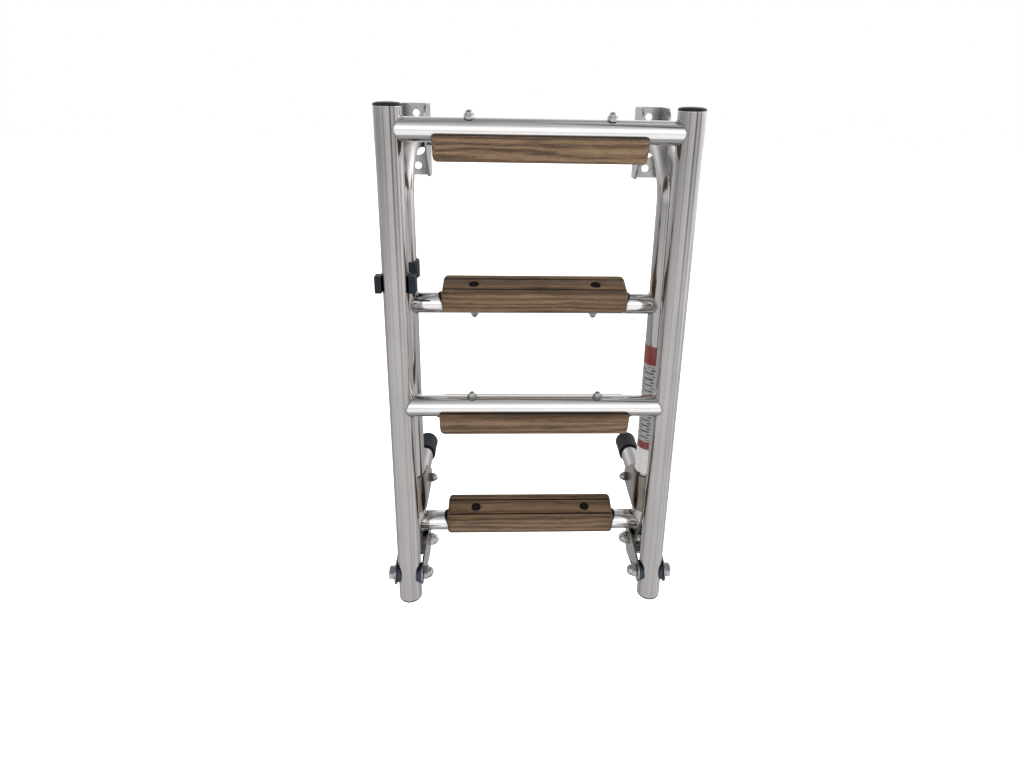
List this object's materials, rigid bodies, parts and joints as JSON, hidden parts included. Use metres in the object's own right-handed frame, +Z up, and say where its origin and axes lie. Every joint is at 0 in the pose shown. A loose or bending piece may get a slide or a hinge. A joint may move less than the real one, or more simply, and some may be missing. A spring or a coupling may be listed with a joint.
{
  "type": "folding boat boarding ladder",
  "caption": "Folding tubular boarding ladder with wooden treads, hinged hull brackets, channel fold links and swing-out standoff legs, drawn folded.",
  "frame": {"origin": "middle of the four hull mounting holes of the two brackets, on the mounting plane", "axes": "+Y from the ladder into the hull, +Z up, +X to the right along the rungs seen from the water side"},
  "size_m": [0.3156, 0.1915, 0.5374],
  "materials": {
    "stainless_tube": "polished",
    "stainless_sheet": "polished",
    "stainless_fastener": "polished",
    "teak": "satin",
    "black_plastic": "satin",
    "black_rubber": "matte",
    "black_nylon": "satin",
    "label": "gloss"
  },
  "bodies": {
    "mounting_brackets": {"bracket_left": "stainless_sheet", "bracket_right": "stainless_sheet", "bracket_bolts": "stainless_fastener", "bracket_nuts": "stainless_fastener", "bracket_steel_washers": "stainless_fastener"},
    "upper_frame": {"upper_rail_left": "stainless_tube", "upper_rail_right": "stainless_tube", "upper_rung_1": "stainless_tube", "upper_rung_2": "stainless_tube", "upper_tread_1": "teak", "upper_tread_2": "teak", "upper_tread_liners": "black_rubber", "upper_tread_screws": "stainless_fastener", "upper_tread_nuts": "stainless_fastener", "upper_rail_plug_left": "black_plastic", "upper_rail_plug_right": "black_plastic", "leg_saddle_left": "stainless_sheet", "leg_saddle_right": "stainless_sheet", "leg_bolts": "stainless_fastener", "leg_nuts": "stainless_fastener", "leg_nylon_washers": "black_nylon", "retaining_clip": "black_plastic", "rail_label": "label", "bracket_nylon_washers": "black_nylon", "upper_fold_nylon_washers": "black_nylon"},
    "fold_links": {"fold_link_left": "stainless_sheet", "fold_link_right": "stainless_sheet", "link_stop_screw_left": "stainless_fastener", "link_stop_screw_right": "stainless_fastener", "upper_fold_bolts": "stainless_fastener", "upper_fold_nuts": "stainless_fastener", "upper_fold_steel_washers": "stainless_fastener", "lower_fold_bolts": "stainless_fastener", "lower_fold_nuts": "stainless_fastener", "lower_fold_steel_washers": "stainless_fastener"},
    "lower_frame": {"lower_rail_left": "stainless_tube", "lower_rail_right": "stainless_tube", "lower_rung_3": "stainless_tube", "lower_rung_4": "stainless_tube", "lower_tread_3": "teak", "lower_tread_4": "teak", "lower_tread_liners": "black_rubber", "lower_tread_screws": "stainless_fastener", "lower_tread_nuts": "stainless_fastener", "lower_rail_cap_left": "black_plastic", "lower_rail_cap_right": "black_plastic", "lower_rail_plug_left": "black_plastic", "lower_rail_plug_right": "black_plastic", "lower_fold_nylon_washers": "black_nylon"},
    "standoff_left": {"standoff_leg_left": "stainless_tube", "standoff_cap_left": "black_rubber"},
    "standoff_right": {"standoff_leg_right": "stainless_tube", "standoff_cap_right": "black_rubber"}
  },
  "joints": [
    {"name": "bracket_hinge", "type": "hinge", "parent": "mounting_brackets", "child": "upper_frame", "pos_m": [0, -0.025, 0.003], "axis": [-1, 0, 0], "range_deg": [0, 90]},
    {"name": "upper_fold_hinge", "type": "hinge", "parent": "upper_frame", "child": "fold_links", "pos_m": [0, -0.122, -0.46], "axis": [1, 0, 0], "range_deg": [0, 90]},
    {"name": "lower_fold_hinge", "type": "hinge", "parent": "fold_links", "child": "lower_frame", "pos_m": [0, -0.174, -0.46], "axis": [1, 0, 0], "range_deg": [0, 90]},
    {"name": "standoff_left_hinge", "type": "hinge", "parent": "upper_frame", "child": "standoff_left", "pos_m": [-0.135, -0.082, -0.402], "axis": [1, 0, 0], "range_deg": [0, 90]},
    {"name": "standoff_right_hinge", "type": "hinge", "parent": "upper_frame", "child": "standoff_right", "pos_m": [0.135, -0.082, -0.402], "axis": [1, 0, 0], "range_deg": [0, 90]}
  ]
}
